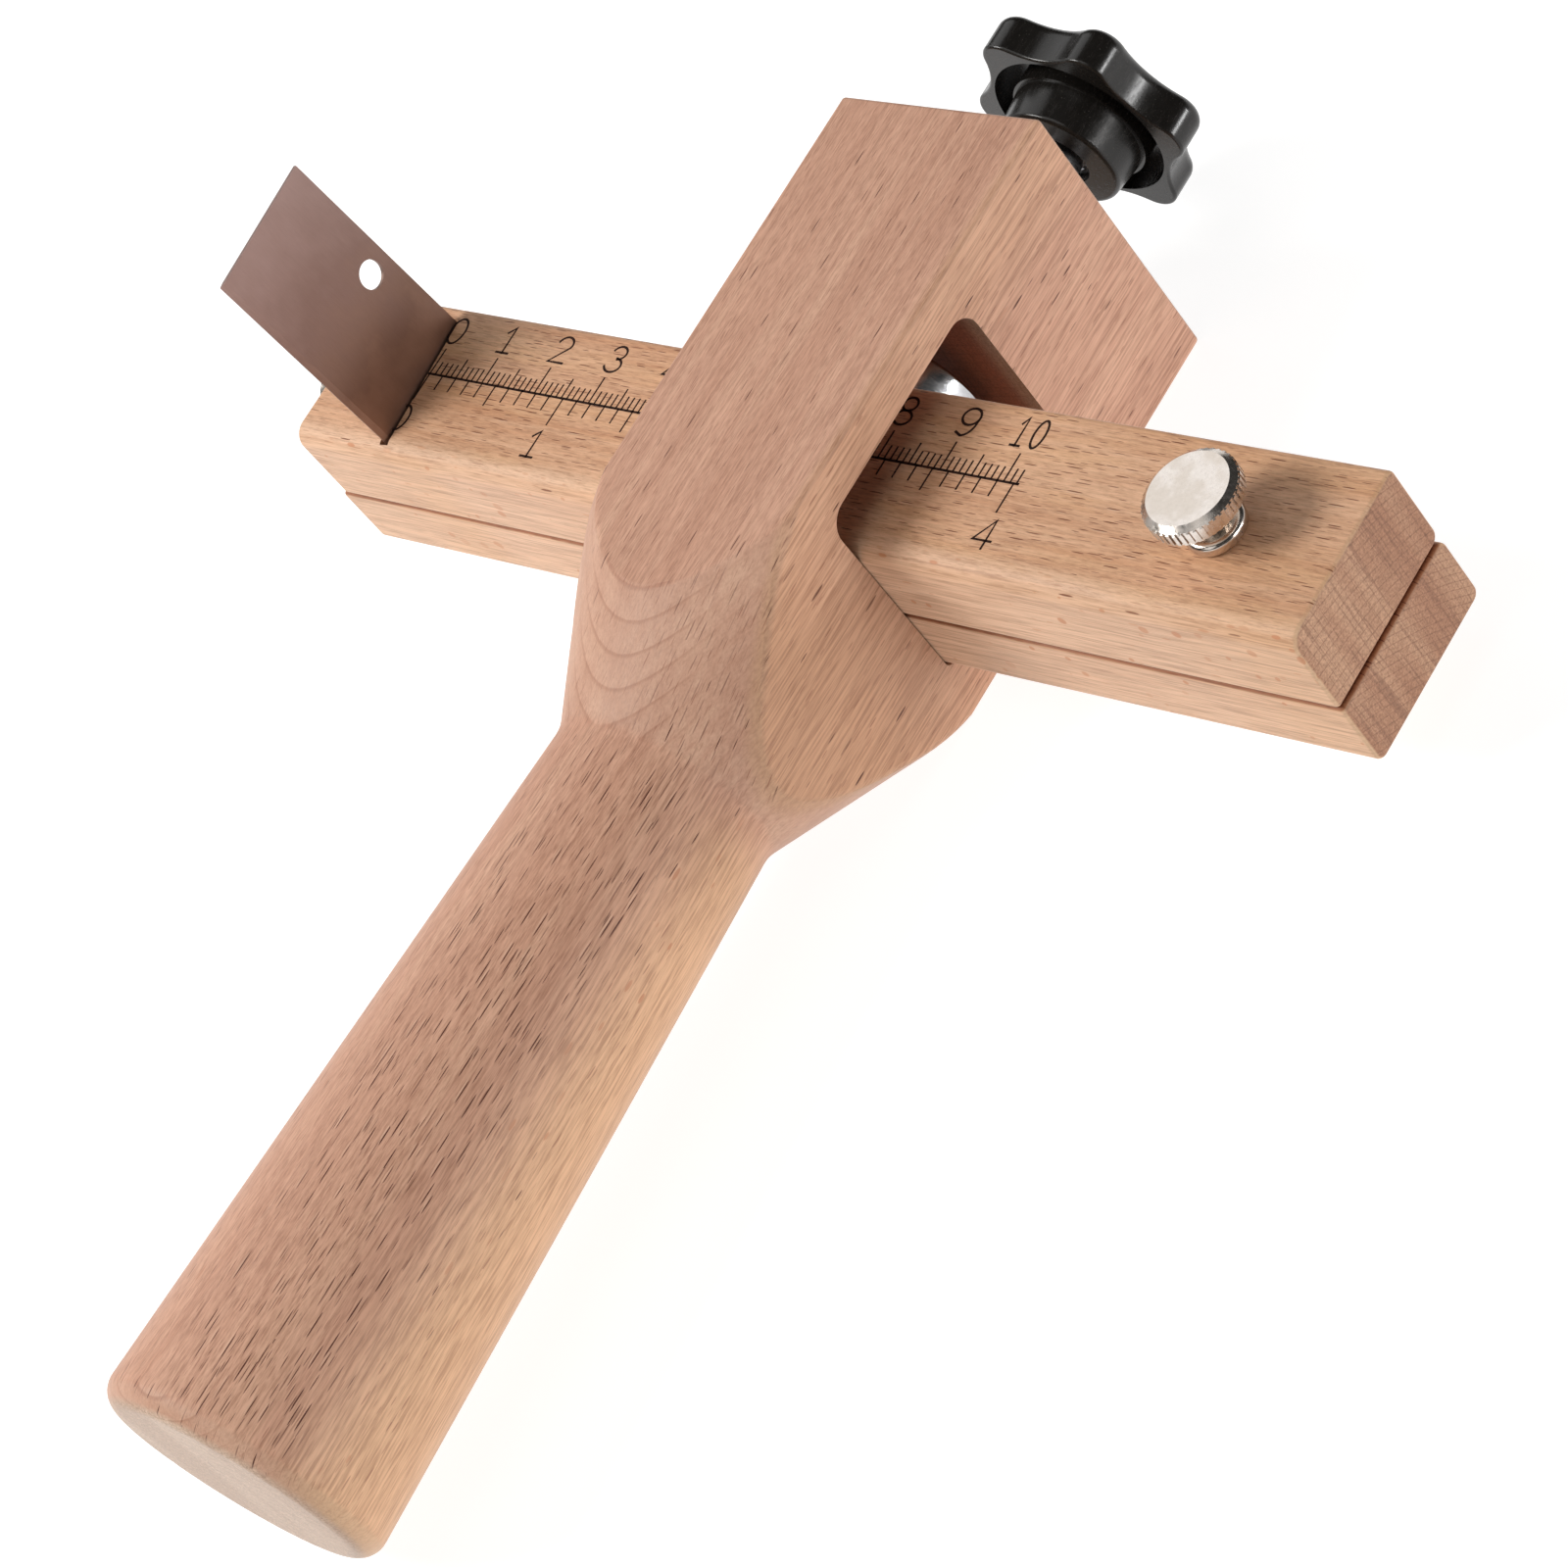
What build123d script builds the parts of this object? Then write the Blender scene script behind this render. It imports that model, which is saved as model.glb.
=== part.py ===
from build123d import *
import os
from math import cos, pi, radians, sin

# Wooden strap cutter: a turned handle whose head block holds two beams, a blade and a clamp knob.
# Row frame: +X along the beams towards the thumb screw, +Y along the handle axis towards the
# knob, +Z out of the front face. The origin is at the centre of the head's flat back face.
os.makedirs("parts", exist_ok=True)

# ---- driving dimensions, mm ----
head_width = 32.5            # along X
head_depth = 42.3            # along Z
head_top = 43.8              # Y of the end that the knob stud comes out of
handle_end = -137.5          # Y of the handle's flat end
neck_y = -42.7
neck_radius = 14.35
handle_end_radius = 18.1
axis_z = head_depth / 2      # the handle, stud and knob share this axis

mortise_bottom = -11.9       # Y of the wall that the beams are clamped against
mortise_top = 20.0
mortise_back = 7.6
mortise_front = 36.6
mortise_front_corner = 3.2
mortise_back_corner = 1.0

beam_half_width = 11.75
rear_beam_back = 7.9
rear_beam_front = 18.15
front_beam_back = 18.45
front_beam_front = 31.05
front_beam_x = (-86.0, 81.2)
rear_beam_x = (-87.0, 81.4)
front_corners = (2.4, 1.0)   # rounding of the outer long edges, bottom and top
rear_corners = (1.3, 1.3)

knob_points = 6
knob_tip_radius = 15.6
knob_valley_radius = 12.7
knob_lobe_radius = 3.6
knob_first_tip = -5.0        # degrees from +X towards +Z
knob_hub_y = 53.0
knob_rim_y = 58.2
knob_top_y = 64.1
stud_radius = 3.0

pad_radius = 10.5
pad_bottom = 11.9
pad_top = 17.4

thumb_screw_x = 64.2
thumb_shank = 2.0
end_screw_z = (front_beam_back + front_beam_front) / 2

blade_width = 19.5
blade_thick = 0.5
blade_above = 31.5           # stands this far above the front beam
blade_length = 52.0
blade_yaw = 4.8              # the leading edge toes in towards the head, degrees
blade_lean = 7.7             # the free end leans away from the head, degrees
blade_mid = (-69.65, -0.2)   # X, Y of the blade's middle at the front beam's face

thread_gap = 0.05            # radial running clearance of every plain-cylinder thread
fit_gap = 0.02               # radial clearance of parts that are fixed together


def across_y(y):
    """Sketch plane square to the handle axis: local x is +X and local y is +Z."""
    return Plane(origin=(0, y, axis_z), x_dir=(1, 0, 0), z_dir=(0, -1, 0))


handle_axis = Axis((0, 0, axis_z), (0, 1, 0))

# Half profiles of everything turned about the handle axis: x is the radius, y runs along the axis.
axis_profile = Plane(origin=(0, 0, axis_z), x_dir=(1, 0, 0), z_dir=(0, 0, 1))

blade_plane = Plane(
    origin=(blade_mid[0], blade_mid[1], front_beam_front),
    x_dir=(-sin(radians(blade_yaw)), cos(radians(blade_yaw)), 0),
    z_dir=(
        cos(radians(blade_lean)) * cos(radians(blade_yaw)),
        cos(radians(blade_lean)) * sin(radians(blade_yaw)),
        sin(radians(blade_lean)),
    ),
)


# The end screw stops just short of the blade, where the blade's plane crosses the screw's axis.
end_tip_gap = 0.35
end_tip_x = (
    blade_mid[0]
    + (front_beam_front - end_screw_z) * sin(radians(blade_lean))
    - blade_thick / 2
    - end_tip_gap
)


# ---- handle: one piece of beech, a rectangular head block turned down to a tapered grip ----
insert_length = 14.0
insert_radius = 5.0
stud_clear_radius = 3.6
turned_radius = 30.0         # more than the block's corners
shoulder = (26.9, -9.5)      # radius and Y where the turning starts, just outside the corners
cone_top = (24.1, -21.2)     # radius and Y where the straight cone meets the rounded shoulder
neck_blend = 5.0
flat_blend = 1.2             # softening where the turned surface meets the flats
block_edge = 0.6
end_round = 3.0
bush_chamfer = 0.5

with BuildPart() as handle:
    with BuildSketch(Plane.XZ.offset(-head_top)):
        with Locations((0, axis_z)):
            Rectangle(head_width, head_depth)
    extrude(amount=head_top - neck_y + neck_blend)
    with BuildSketch(axis_profile) as turned:
        with BuildLine():
            grip = Polyline(
                (0, handle_end),
                (handle_end_radius, handle_end),
                (neck_radius, neck_y),
                cone_top,
            )
            TangentArc(cone_top, shoulder, tangent=grip % 1)
            Polyline(
                shoulder,
                (turned_radius, shoulder[1]),
                (turned_radius, head_top),
                (0, head_top),
                (0, handle_end),
            )
        make_face()
        fillet(turned.vertices().sort_by_distance((neck_radius, neck_y))[0], neck_blend)
        fillet(turned.vertices().sort_by_distance((handle_end_radius, handle_end))[0], end_round)
    revolve(axis=handle_axis, mode=Mode.INTERSECT)
    with BuildSketch(axis_profile) as grip_half:
        with BuildLine():
            Polyline(
                (0, handle_end),
                (handle_end_radius, handle_end),
                (neck_radius, neck_y),
                (0, neck_y),
                close=True,
            )
        make_face()
        fillet(grip_half.vertices().sort_by_distance((handle_end_radius, handle_end))[0], end_round)
    revolve(axis=handle_axis)
    turned_edges = handle.edges().filter_by(lambda edge: neck_y < edge.center().Y < shoulder[1])
    fillet(turned_edges.filter_by(GeomType.HYPERBOLA), flat_blend)
    long_edges = handle.edges().filter_by(Axis.Y).filter_by(lambda edge: edge.center().Y > 0)
    fillet(long_edges + handle.faces().sort_by(Axis.Y)[-1].edges(), block_edge)
    with BuildSketch(Plane.YZ.offset(-head_width)) as mortise:
        with Locations(((mortise_bottom + mortise_top) / 2, (mortise_back + mortise_front) / 2)):
            Rectangle(mortise_top - mortise_bottom, mortise_front - mortise_back)
        fillet(mortise.vertices().group_by(Axis.Y)[-1], mortise_front_corner)
        fillet(mortise.vertices().group_by(Axis.Y)[0], mortise_back_corner)
    extrude(amount=2 * head_width, mode=Mode.SUBTRACT)
    with BuildSketch(across_y(head_top)):
        Circle(insert_radius + fit_gap)
    extrude(amount=insert_length, mode=Mode.SUBTRACT)
    with BuildSketch(across_y(head_top)):
        Circle(stud_clear_radius)
    extrude(amount=head_top - mortise_top, mode=Mode.SUBTRACT)

handle.part.label = "handle"
export_step(handle.part, "parts/handle.step")


# ---- threaded bush in the head's top, which the clamp stud screws through ----
with BuildPart() as knob_insert:
    with BuildSketch(across_y(head_top)):
        Circle(insert_radius)
        Circle(stud_radius + thread_gap, mode=Mode.SUBTRACT)
    extrude(amount=insert_length)
    mouth = knob_insert.edges().filter_by(GeomType.CIRCLE).group_by(Axis.Y)[-1]
    chamfer(mouth.sort_by(SortBy.RADIUS)[0], bush_chamfer)

knob_insert.part.label = "knob_insert"
export_step(knob_insert.part, "parts/knob_insert.step")


# ---- clamp pad: a thick steel disc that turns freely on the end of the stud ----
spigot_radius = 2.5
clip_room_radius = 5.0
clip_room = 2.6              # depth of the recess for the retaining clip
pad_chamfer = 0.5

with BuildPart() as clamp_pad:
    with BuildSketch(across_y(pad_top)):
        Circle(pad_radius)
        Circle(spigot_radius + thread_gap, mode=Mode.SUBTRACT)
    extrude(amount=pad_top - pad_bottom)
    with BuildSketch(across_y(pad_bottom + clip_room)):
        Circle(clip_room_radius)
    extrude(amount=clip_room, mode=Mode.SUBTRACT)
    rims = clamp_pad.edges().filter_by(GeomType.CIRCLE).sort_by(SortBy.RADIUS)[-2:]
    chamfer(rims, pad_chamfer)

clamp_pad.part.label = "clamp_pad"
export_step(clamp_pad.part, "parts/clamp_pad.step")


# ---- clamp stud: threaded rod with a spigot for the pad, its top fixed in the knob ----
spigot_end = pad_bottom + 0.5
spigot_top = pad_top + 0.05
stud_top = knob_top_y - 3.0
clip_bottom = pad_bottom + 1.5
clip_thick = 0.6
groove_radius = 2.0
spigot_chamfer = 0.4

with BuildPart() as clamp_stud:
    with BuildSketch(axis_profile):
        with BuildLine():
            Polyline(
                (0, spigot_end),
                (spigot_radius, spigot_end),
                (spigot_radius, clip_bottom),
                (groove_radius, clip_bottom),
                (groove_radius, clip_bottom + clip_thick),
                (spigot_radius, clip_bottom + clip_thick),
                (spigot_radius, spigot_top),
                (stud_radius, spigot_top),
                (stud_radius, stud_top),
                (0, stud_top),
                close=True,
            )
        make_face()
    revolve(axis=handle_axis)
    chamfer(clamp_stud.edges().filter_by(GeomType.CIRCLE).group_by(Axis.Y)[0], spigot_chamfer)

clamp_stud.part.label = "clamp_stud"
export_step(clamp_stud.part, "parts/clamp_stud.step")


# ---- retaining clip: an open ring sprung into the stud's groove under the pad ----
clip_outer_radius = 4.2
clip_opening = 2.6

with BuildPart() as pad_clip:
    with BuildSketch(across_y(clip_bottom + clip_thick)):
        Circle(clip_outer_radius)
        Circle(groove_radius + fit_gap, mode=Mode.SUBTRACT)
        with Locations((0, -clip_outer_radius)):
            Rectangle(clip_opening, 2 * clip_outer_radius, mode=Mode.SUBTRACT)
    extrude(amount=clip_thick - fit_gap)

pad_clip.part.label = "pad_clip"
export_step(pad_clip.part, "parts/pad_clip.step")


# ---- star knob: a moulded rim with rounded points, hollow underneath around a tapered hub ----
cavity_radius = 11.9
cavity_top = 61.6
hub_bottom_radius = 8.3
hub_top_radius = 9.3
hub_mouth_radius = 4.3
hub_mouth_depth = 1.2
bush_radius = 4.0
bush_bottom = knob_hub_y + hub_mouth_depth
cap_radius = 8.6
cap_height = 1.2
cap_round = 1.0
rim_top_round = 1.8
rim_bottom_round = 0.4
hub_round = 0.6

# The outline alternates convex arcs at the points with concave arcs in the valleys, all tangent.
lobe_centre = knob_tip_radius - knob_lobe_radius
half_pitch = pi / knob_points
reach = 2 * lobe_centre * cos(half_pitch)
valley_radius = (
    knob_valley_radius**2 + lobe_centre**2 - reach * knob_valley_radius - knob_lobe_radius**2
) / (2 * knob_lobe_radius - 2 * knob_valley_radius + reach)
valley_centre = knob_valley_radius + valley_radius


def polar(radius, angle):
    return Vector(radius * cos(angle), radius * sin(angle))


with BuildPart() as star_knob:
    with BuildSketch(across_y(knob_top_y)):
        with BuildLine():
            for point in range(knob_points):
                tip = radians(knob_first_tip) + 2 * half_pitch * point
                here = polar(lobe_centre, tip)
                after = polar(valley_centre, tip + half_pitch)
                before = polar(valley_centre, tip - half_pitch)
                leave = here + (after - here).normalized() * knob_lobe_radius
                enter = here + (before - here).normalized() * knob_lobe_radius
                beyond = polar(lobe_centre, tip + 2 * half_pitch)
                rejoin = beyond + (after - beyond).normalized() * knob_lobe_radius
                ThreePointArc(enter, polar(knob_tip_radius, tip), leave)
                ThreePointArc(leave, polar(knob_valley_radius, tip + half_pitch), rejoin)
        make_face()
    extrude(amount=knob_top_y - knob_rim_y)
    fillet(star_knob.faces().sort_by(Axis.Y)[-1].edges(), rim_top_round)
    fillet(star_knob.faces().sort_by(Axis.Y)[0].edges(), rim_bottom_round)
    with BuildSketch(axis_profile):
        with BuildLine():
            Polyline(
                (hub_top_radius, cavity_top),
                (cavity_radius, cavity_top),
                (cavity_radius, knob_rim_y),
                (hub_top_radius, knob_rim_y),
                close=True,
            )
        make_face()
    revolve(axis=handle_axis, mode=Mode.SUBTRACT)
    with BuildSketch(axis_profile) as hub_half:
        with BuildLine():
            Polyline(
                (0, knob_hub_y),
                (hub_bottom_radius, knob_hub_y),
                (hub_top_radius, cavity_top),
                (0, cavity_top),
                close=True,
            )
        make_face()
        fillet(hub_half.vertices().sort_by_distance((hub_bottom_radius, knob_hub_y))[0], hub_round)
    revolve(axis=handle_axis)
    with BuildSketch(across_y(knob_top_y + cap_height)):
        Circle(cap_radius)
    extrude(amount=cap_height)
    fillet(star_knob.faces().sort_by(Axis.Y)[-1].edges(), cap_round)
    with BuildSketch(across_y(bush_bottom)):
        Circle(hub_mouth_radius)
    extrude(amount=hub_mouth_depth, mode=Mode.SUBTRACT)
    with BuildSketch(across_y(stud_top + fit_gap)):
        Circle(bush_radius + fit_gap)
    extrude(amount=stud_top + fit_gap - bush_bottom, mode=Mode.SUBTRACT)

star_knob.part.label = "star_knob"
export_step(star_knob.part, "parts/star_knob.step")


# ---- threaded bush moulded into the knob's hub ----
insert_chamfer = 0.4

with BuildPart() as knob_bush:
    with BuildSketch(across_y(stud_top)):
        Circle(bush_radius)
        Circle(stud_radius + fit_gap, mode=Mode.SUBTRACT)
    extrude(amount=stud_top - bush_bottom)
    mouth = knob_bush.edges().filter_by(GeomType.CIRCLE).group_by(Axis.Y)[0]
    chamfer(mouth.sort_by(SortBy.RADIUS)[0], insert_chamfer)

knob_bush.part.label = "knob_bush"
export_step(knob_bush.part, "parts/knob_bush.step")


# ---- the two beams, which share the blade slot and the thumb screw's line ----
seam_corners = (0.5, 1.4)    # bottom and top
end_edge = 0.6
front_slot = 1.5
rear_slot = 2.5
slot_end_gap = 0.4           # at each edge of the blade
slot_width = blade_width + 2 * slot_end_gap
slot_reach = 60.0            # longer than both beams are deep
thumb_insert_radius = 3.2
thumb_insert_z = (8.3, 17.7)
thumb_clear_radius = 2.3
end_insert_radius = 3.2
end_insert_length = 10.0
end_screw_clear_radius = 2.3


def beam(x_range, z_range, outer_is_front, outer_corners):
    """A plain beam, rounded along its outer face and barely along the seam."""
    outer_group, seam_group = (-1, 0) if outer_is_front else (0, -1)
    long_rounds = ((outer_group, outer_corners), (seam_group, seam_corners))
    with BuildPart() as bar:
        with BuildSketch(Plane.XY.offset(z_range[0])):
            with Locations(((x_range[0] + x_range[1]) / 2, 0)):
                Rectangle(x_range[1] - x_range[0], 2 * beam_half_width)
        extrude(amount=z_range[1] - z_range[0])
        for group, (bottom, top) in long_rounds:
            side = bar.edges().filter_by(Axis.X).group_by(Axis.Z)[group]
            fillet(side.sort_by(Axis.Y)[0], bottom)
            side = bar.edges().filter_by(Axis.X).group_by(Axis.Z)[group]
            fillet(side.sort_by(Axis.Y)[-1], top)
        for end in (0, -1):
            fillet(bar.faces().sort_by(Axis.X)[end].edges(), end_edge)
    return bar.part


with BuildPart() as front_beam:
    add(beam(front_beam_x, (front_beam_back, front_beam_front), True, front_corners))
    with BuildSketch(blade_plane):
        Rectangle(slot_width, 2 * slot_reach)
    extrude(amount=front_slot / 2, both=True, mode=Mode.SUBTRACT)
    with BuildSketch(Plane.XY.offset(front_beam_back)):
        with Locations((thumb_screw_x, 0)):
            Circle(thumb_clear_radius)
    extrude(amount=front_beam_front - front_beam_back, mode=Mode.SUBTRACT)
    with BuildSketch(Plane.YZ.offset(front_beam_x[0])):
        with Locations((0, end_screw_z)):
            Circle(end_screw_clear_radius)
    extrude(amount=end_tip_x + end_tip_gap - front_beam_x[0], mode=Mode.SUBTRACT)
    with BuildSketch(Plane.YZ.offset(front_beam_x[0])):
        with Locations((0, end_screw_z)):
            Circle(end_insert_radius + fit_gap)
    extrude(amount=end_insert_length, mode=Mode.SUBTRACT)

front_beam.part.label = "front_beam"
export_step(front_beam.part, "parts/front_beam.step")

with BuildPart() as rear_beam:
    add(beam(rear_beam_x, (rear_beam_back, rear_beam_front), False, rear_corners))
    with BuildSketch(blade_plane):
        Rectangle(slot_width, 2 * slot_reach)
    extrude(amount=rear_slot / 2, both=True, mode=Mode.SUBTRACT)
    with BuildSketch(Plane.XY.offset(thumb_insert_z[0])):
        with Locations((thumb_screw_x, 0)):
            Circle(thumb_insert_radius + fit_gap)
    extrude(amount=rear_beam_front - thumb_insert_z[0], mode=Mode.SUBTRACT)

rear_beam.part.label = "rear_beam"
export_step(rear_beam.part, "parts/rear_beam.step")


# ---- threaded bushes for the thumb screw and the end screw ----
with BuildPart() as thumb_insert:
    with BuildSketch(Plane.XY.offset(thumb_insert_z[0])):
        with Locations((thumb_screw_x, 0)):
            Circle(thumb_insert_radius)
            Circle(thumb_shank + thread_gap, mode=Mode.SUBTRACT)
    extrude(amount=thumb_insert_z[1] - thumb_insert_z[0])
    mouth = thumb_insert.edges().filter_by(GeomType.CIRCLE).group_by(Axis.Z)[-1]
    chamfer(mouth.sort_by(SortBy.RADIUS)[0], insert_chamfer)

thumb_insert.part.label = "thumb_insert"
export_step(thumb_insert.part, "parts/thumb_insert.step")

with BuildPart() as end_insert:
    with BuildSketch(Plane.YZ.offset(front_beam_x[0])):
        with Locations((0, end_screw_z)):
            Circle(end_insert_radius)
            Circle(thumb_shank + thread_gap, mode=Mode.SUBTRACT)
    extrude(amount=end_insert_length)

end_insert.part.label = "end_insert"
export_step(end_insert.part, "parts/end_insert.step")


# ---- blade: a flat steel strip with a hanging hole, sharpened along its leading edge ----
hole_radius = 1.95
hole_up = 14.2
hole_from_back = 3.65
bevel = 0.9
edge_thick = 0.12

with BuildPart() as blade:
    with BuildSketch(blade_plane):
        with Locations((0, blade_above - blade_length / 2)):
            Rectangle(blade_width, blade_length)
        with Locations((blade_width / 2 - hole_from_back, hole_up)):
            Circle(hole_radius, mode=Mode.SUBTRACT)
    extrude(amount=blade_thick / 2, both=True)
    leading = blade.faces().filter_by(GeomType.PLANE).sort_by(Axis.Y)[0]
    chamfer(leading.edges().filter_by(lambda e: e.length > blade_width),
            length=(blade_thick - edge_thick) / 2, length2=bevel, reference=leading)

blade.part.label = "blade"
export_step(blade.part, "parts/blade.step")


# ---- knurled screws: the thumb screw through both beams and the end screw behind the blade ----
ridge_depth = 0.36
neck_share = 0.62            # neck radius as a share of the collar's
collar_round_share = 0.4     # of the collar's height
undercut_share = 0.22        # of the head's height above the seat
tip_chamfer = 0.4
thumb_tip_z = 9.0


def knurled_screw(shank, collar, head, face_radius, ridges):
    """A screw along +Z with its collar's seat at Z = 0, its shank below and a ridged head above.

    shank is (radius, length), collar is (radius, height), head is (radius, from, to)."""
    collar_radius, collar_height = collar
    head_radius, head_from, head_to = head
    round_over = collar_round_share * collar_height
    undercut = undercut_share * head_from
    neck = neck_share * collar_radius
    with BuildPart() as screw:
        with BuildSketch(Plane.XZ) as outline:
            with BuildLine():
                Polyline(
                    (0, -shank[1]),
                    (shank[0], -shank[1]),
                    (shank[0], 0),
                    (collar_radius, 0),
                    (collar_radius, collar_height),
                    (neck, collar_height),
                    (neck, head_from - undercut),
                    (head_radius - 2 * ridge_depth, head_from),
                    (head_radius, head_from + ridge_depth),
                    (head_radius, head_to - 2 * ridge_depth),
                    (face_radius, head_to),
                    (0, head_to),
                    close=True,
                )
            make_face()
            for height in (0, collar_height):
                corner = outline.vertices().sort_by_distance((collar_radius, height))[0]
                fillet(corner, round_over)
        revolve(axis=Axis.Z)
        with BuildSketch(Plane.XY.offset(head_from)):
            with PolarLocations(head_radius, ridges):
                RegularPolygon(ridge_depth, 3)
        extrude(amount=head_to - head_from, mode=Mode.SUBTRACT)
        chamfer(screw.edges().filter_by(GeomType.CIRCLE).group_by(Axis.Z)[0], tip_chamfer)
    return screw.part


with BuildPart() as thumb_screw:
    with Locations((thumb_screw_x, 0, front_beam_front + fit_gap)):
        add(knurled_screw(
            shank=(thumb_shank, front_beam_front - thumb_tip_z),
            collar=(3.85, 2.0),
            head=(6.0, 5.2, 7.95),
            face_radius=5.1,
            ridges=44,
        ))

thumb_screw.part.label = "thumb_screw"
export_step(thumb_screw.part, "parts/thumb_screw.step")

with BuildPart() as end_screw:
    with Locations(Location((front_beam_x[0] - fit_gap, 0, end_screw_z), (0, -90, 0))):
        add(knurled_screw(
            shank=(thumb_shank, end_tip_x - front_beam_x[0]),
            collar=(3.6, 1.1),
            head=(4.5, 2.2, 4.6),
            face_radius=3.8,
            ridges=34,
        ))

end_screw.part.label = "end_screw"
export_step(end_screw.part, "parts/end_screw.step")
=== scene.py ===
import bpy
import math
from mathutils import Matrix, Vector


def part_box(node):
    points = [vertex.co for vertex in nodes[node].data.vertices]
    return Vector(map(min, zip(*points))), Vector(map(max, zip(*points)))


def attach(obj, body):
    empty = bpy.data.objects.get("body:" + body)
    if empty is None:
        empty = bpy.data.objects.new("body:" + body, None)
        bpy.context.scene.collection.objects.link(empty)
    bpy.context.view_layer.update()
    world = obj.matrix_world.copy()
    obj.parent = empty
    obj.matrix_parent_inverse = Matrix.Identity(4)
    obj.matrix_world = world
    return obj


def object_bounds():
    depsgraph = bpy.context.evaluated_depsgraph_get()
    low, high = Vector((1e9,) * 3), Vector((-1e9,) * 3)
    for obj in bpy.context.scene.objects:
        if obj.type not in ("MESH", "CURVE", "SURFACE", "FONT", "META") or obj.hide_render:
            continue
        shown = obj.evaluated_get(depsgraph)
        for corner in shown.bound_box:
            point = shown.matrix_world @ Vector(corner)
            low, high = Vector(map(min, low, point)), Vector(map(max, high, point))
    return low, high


MM = 0.001

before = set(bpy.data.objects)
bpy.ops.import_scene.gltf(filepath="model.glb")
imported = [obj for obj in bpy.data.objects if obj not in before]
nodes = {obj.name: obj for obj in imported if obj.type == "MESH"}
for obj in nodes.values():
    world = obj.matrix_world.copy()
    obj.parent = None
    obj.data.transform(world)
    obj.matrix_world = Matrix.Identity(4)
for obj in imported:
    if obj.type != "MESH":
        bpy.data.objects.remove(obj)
cad_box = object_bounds()


# Colour and node helpers.

def srgb(r, g, b):
    """A screen colour, 0 to 255, as linear RGBA."""
    out = []
    for v in (r / 255, g / 255, b / 255):
        out.append(v / 12.92 if v <= 0.04045 else ((v + 0.055) / 1.055) ** 2.4)
    return (*out, 1.0)


def grey(value):
    return (value, value, value, 1)


class Nodes:
    """Builds one material's node tree."""

    def __init__(self, name):
        self.material = bpy.data.materials.new(name)
        self.material.use_nodes = True
        self.tree = self.material.node_tree
        self.shader = self.tree.nodes["Principled BSDF"]

    def feed(self, socket, value):
        """Links a socket to another node's output, or sets it to a fixed value."""
        if isinstance(value, bpy.types.NodeSocket):
            self.tree.links.new(value, socket)
        else:
            socket.default_value = value

    def add(self, kind, inputs=None, out=0, **props):
        node = self.tree.nodes.new("ShaderNode" + kind)
        for key, value in props.items():
            setattr(node, key, value)
        for key, value in (inputs or {}).items():
            self.feed(node.inputs[key], value)
        return node.outputs[out]

    def math(self, op, a, b=0.0, clamp=False):
        return self.add("Math", {0: a, 1: b}, operation=op, use_clamp=clamp)

    def plus(self, a, b):
        return self.math("ADD", a, b)

    def minus(self, a, b):
        return self.math("SUBTRACT", a, b)

    def times(self, first, *others):
        for other in others:
            first = self.math("MULTIPLY", first, other)
        return first

    def most(self, a, b):
        return self.math("MAXIMUM", a, b)

    def size(self, value):
        return self.math("ABSOLUTE", value)

    def blend(self, a, share_a, b, share_b):
        """The sum of two values, each with its own share."""
        return self.plus(self.times(a, share_a), self.times(b, share_b))

    def vector(self, op, a, b):
        return self.add("VectorMath", {0: a, 1: b}, operation=op)

    def join(self, x, y, z):
        return self.add("CombineXYZ", {"X": x, "Y": y, "Z": z})

    def split(self, vector):
        return tuple(self.add("SeparateXYZ", {0: vector}).node.outputs)

    def noise(self, vector, scale, detail, roughness):
        """Noise per mm, scale being one number or one along each axis."""
        if isinstance(scale, tuple):
            vector, scale = self.vector("MULTIPLY", vector, scale), 1.0
        return self.add("TexNoise", {"Vector": vector, "Scale": scale, "Detail": detail,
                                     "Roughness": roughness})

    def span(self, value, low, high, to_low=0.0, to_high=1.0, smooth=True):
        return self.add("MapRange", {"Value": value, "From Min": low, "From Max": high,
                                     "To Min": to_low, "To Max": to_high}, clamp=True,
                        interpolation_type="SMOOTHSTEP" if smooth else "LINEAR")

    def line(self, value, low, high, to_low=0.0, to_high=1.0):
        """A span without the soft ends."""
        return self.span(value, low, high, to_low, to_high, smooth=False)

    def fall(self, value, low, high):
        """1 up to low, and 0 from high on."""
        return self.span(value, low, high, 1.0, 0.0)

    def between(self, value, rise, drop):
        """1 between two edges, each given by its own start and end."""
        return self.times(self.span(value, *rise), self.fall(value, *drop))

    def mix(self, factor, a, b, blend="MIX"):
        return self.add("Mix", {0: factor, 6: a, 7: b}, out=2, data_type="RGBA", blend_type=blend)

    def tint(self, factor, colour, tint):
        return self.mix(factor, colour, tint, "MULTIPLY")

    def ramp(self, value, stops):
        out = self.add("ValToRGB", {0: value})
        elements = out.node.color_ramp.elements
        while len(elements) < len(stops):
            elements.new(0.5)
        for element, (place, colour) in zip(elements, stops):
            element.position = place
            element.color = colour
        return out

    def millimetres(self):
        """Object coordinates in millimetres."""
        place = self.add("TexCoord", out="Object")
        return self.vector("MULTIPLY", place, (1 / MM, 1 / MM, 1 / MM))

    def normal(self):
        return self.add("TexCoord", out="Normal")

    def bump(self, height, strength, distance):
        return self.add("Bump", {"Height": height, "Strength": strength, "Distance": distance})

    def finish(self, **inputs):
        """Feeds the shader's inputs, named with _ for each space, and returns the material."""
        for name, value in inputs.items():
            self.feed(self.shader.inputs[name.replace("_", " ")], value)
        return self.material


# The values that nearly all and most of a noise lie between.
NOISE_RANGE, NOISE_CORE = (0.3, 0.7), (0.35, 0.65)

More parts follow.
